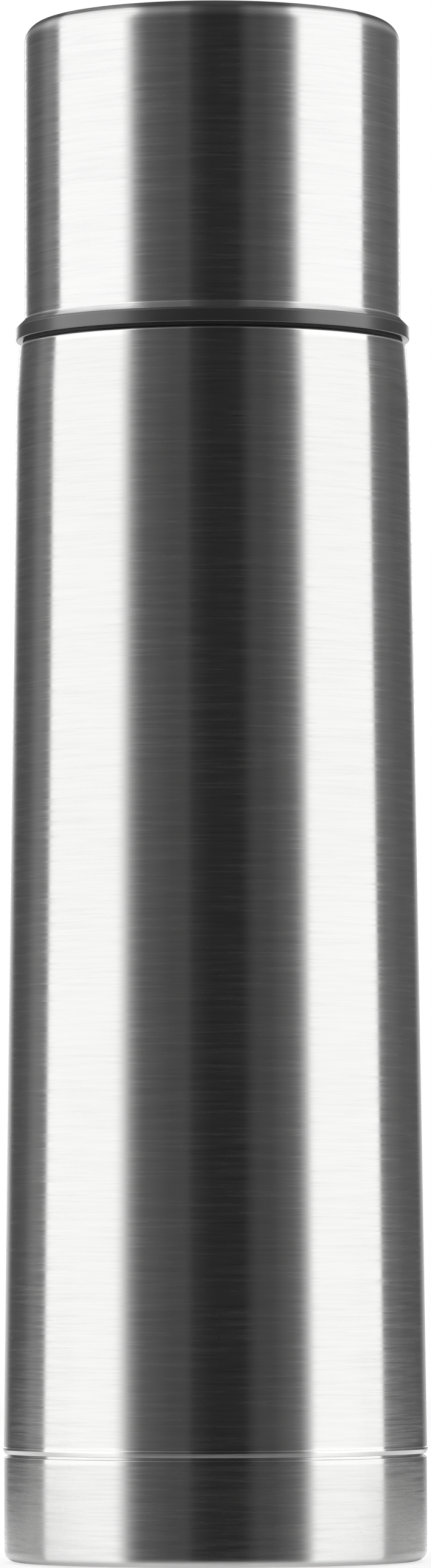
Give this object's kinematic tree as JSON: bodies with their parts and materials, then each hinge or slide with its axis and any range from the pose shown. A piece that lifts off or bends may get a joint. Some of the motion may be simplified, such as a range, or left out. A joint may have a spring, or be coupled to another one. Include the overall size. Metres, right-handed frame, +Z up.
{
  "type": "vacuum flask",
  "caption": "Tall steel vacuum flask with a screw-on drinking cup over a push-button pouring stopper.",
  "frame": {"origin": "centre of the foot's standing ring, on the surface the flask stands on", "axes": "+Z up along the flask's axis, from the foot to the cup; +Y away from the viewer of the front, +X to that viewer's right"},
  "size_m": [0.0674, 0.0674, 0.245],
  "materials": {
    "brushed_steel": "brushed round the body",
    "brushed_steel_foot": "brushed round the foot",
    "brushed_steel_cup": "brushed round the cup",
    "vessel_steel": "satin",
    "liner_steel": "satin",
    "pressed_steel": "mill finish",
    "heat_foil": "bright foil",
    "getter_metal": "sintered, dull",
    "seal_metal": "melted and set",
    "collar_plastic": "moulded, fine grain",
    "ring_plastic": "moulded, satin",
    "stopper_plastic": "moulded, satin",
    "chamber_plastic": "moulded, natural",
    "button_plastic": "moulded, fine grain",
    "grip_rubber": "soft touch",
    "silicone": "translucent white silicone",
    "silicone_dark": "black silicone",
    "foam": "closed-cell foam",
    "spring_steel": "bright drawn wire",
    "stem_steel": "ground rod"
  },
  "bodies": {
    "flask": {"outer_shell": "brushed_steel", "base_cup": "brushed_steel_foot", "inner_vessel": "vessel_steel", "inner_vessel_base": "vessel_steel", "vacuum_end_plate": "pressed_steel", "radiation_foil": "heat_foil", "getter_pellet": "getter_metal", "getter_clip": "pressed_steel", "seal_bead": "seal_metal", "neck_collar": "collar_plastic"},
    "stopper_gasket": {"stopper_gasket": "silicone"},
    "stopper": {"stopper_body": "stopper_plastic", "stopper_grip_ring": "grip_rubber", "insulator_cup": "chamber_plastic", "foam_core": "foam", "insulator_lid": "chamber_plastic", "stem_o_ring": "silicone", "spring_washer": "spring_steel", "valve_spring": "spring_steel"},
    "button": {"push_button": "button_plastic", "valve_stem": "stem_steel", "valve_disc": "stopper_plastic", "valve_seal": "silicone", "stem_clip": "spring_steel"},
    "cup_seal": {"cup_seal_ring": "silicone_dark"},
    "cup": {"cup_shell": "brushed_steel_cup", "cup_liner": "liner_steel", "cup_thread_ring": "ring_plastic"}
  },
  "joints": [
    {"name": "stopper_rise", "type": "slide", "parent": "flask", "child": "stopper_gasket", "axis": [0, 0, 1], "range_m": [0, 0.048]},
    {"name": "stopper_turn", "type": "hinge", "parent": "stopper_gasket", "child": "stopper", "pos_m": [0, 0, 0.2], "axis": [0, 0, 1], "range_deg": [0, 1440]},
    {"name": "button_press", "type": "slide", "parent": "stopper", "child": "button", "axis": [0, 0, -1], "range_m": [0, 0.004], "stiffness_N_per_m": 1200, "springref_m": -0.003, "deforming": ["valve_spring"]},
    {"name": "cup_rise", "type": "slide", "parent": "stopper", "child": "cup_seal", "axis": [0, 0, 1], "range_m": [0, 0.06]},
    {"name": "cup_turn", "type": "hinge", "parent": "cup_seal", "child": "cup", "pos_m": [0, 0, 0.2], "axis": [0, 0, 1], "range_deg": [0, 1800]}
  ],
  "couplings": [
    {"joint": "stopper_rise", "follows": "stopper_turn", "m_per_rad": 0.0019099},
    {"joint": "cup_rise", "follows": "cup_turn", "m_per_rad": 0.0019099}
  ]
}
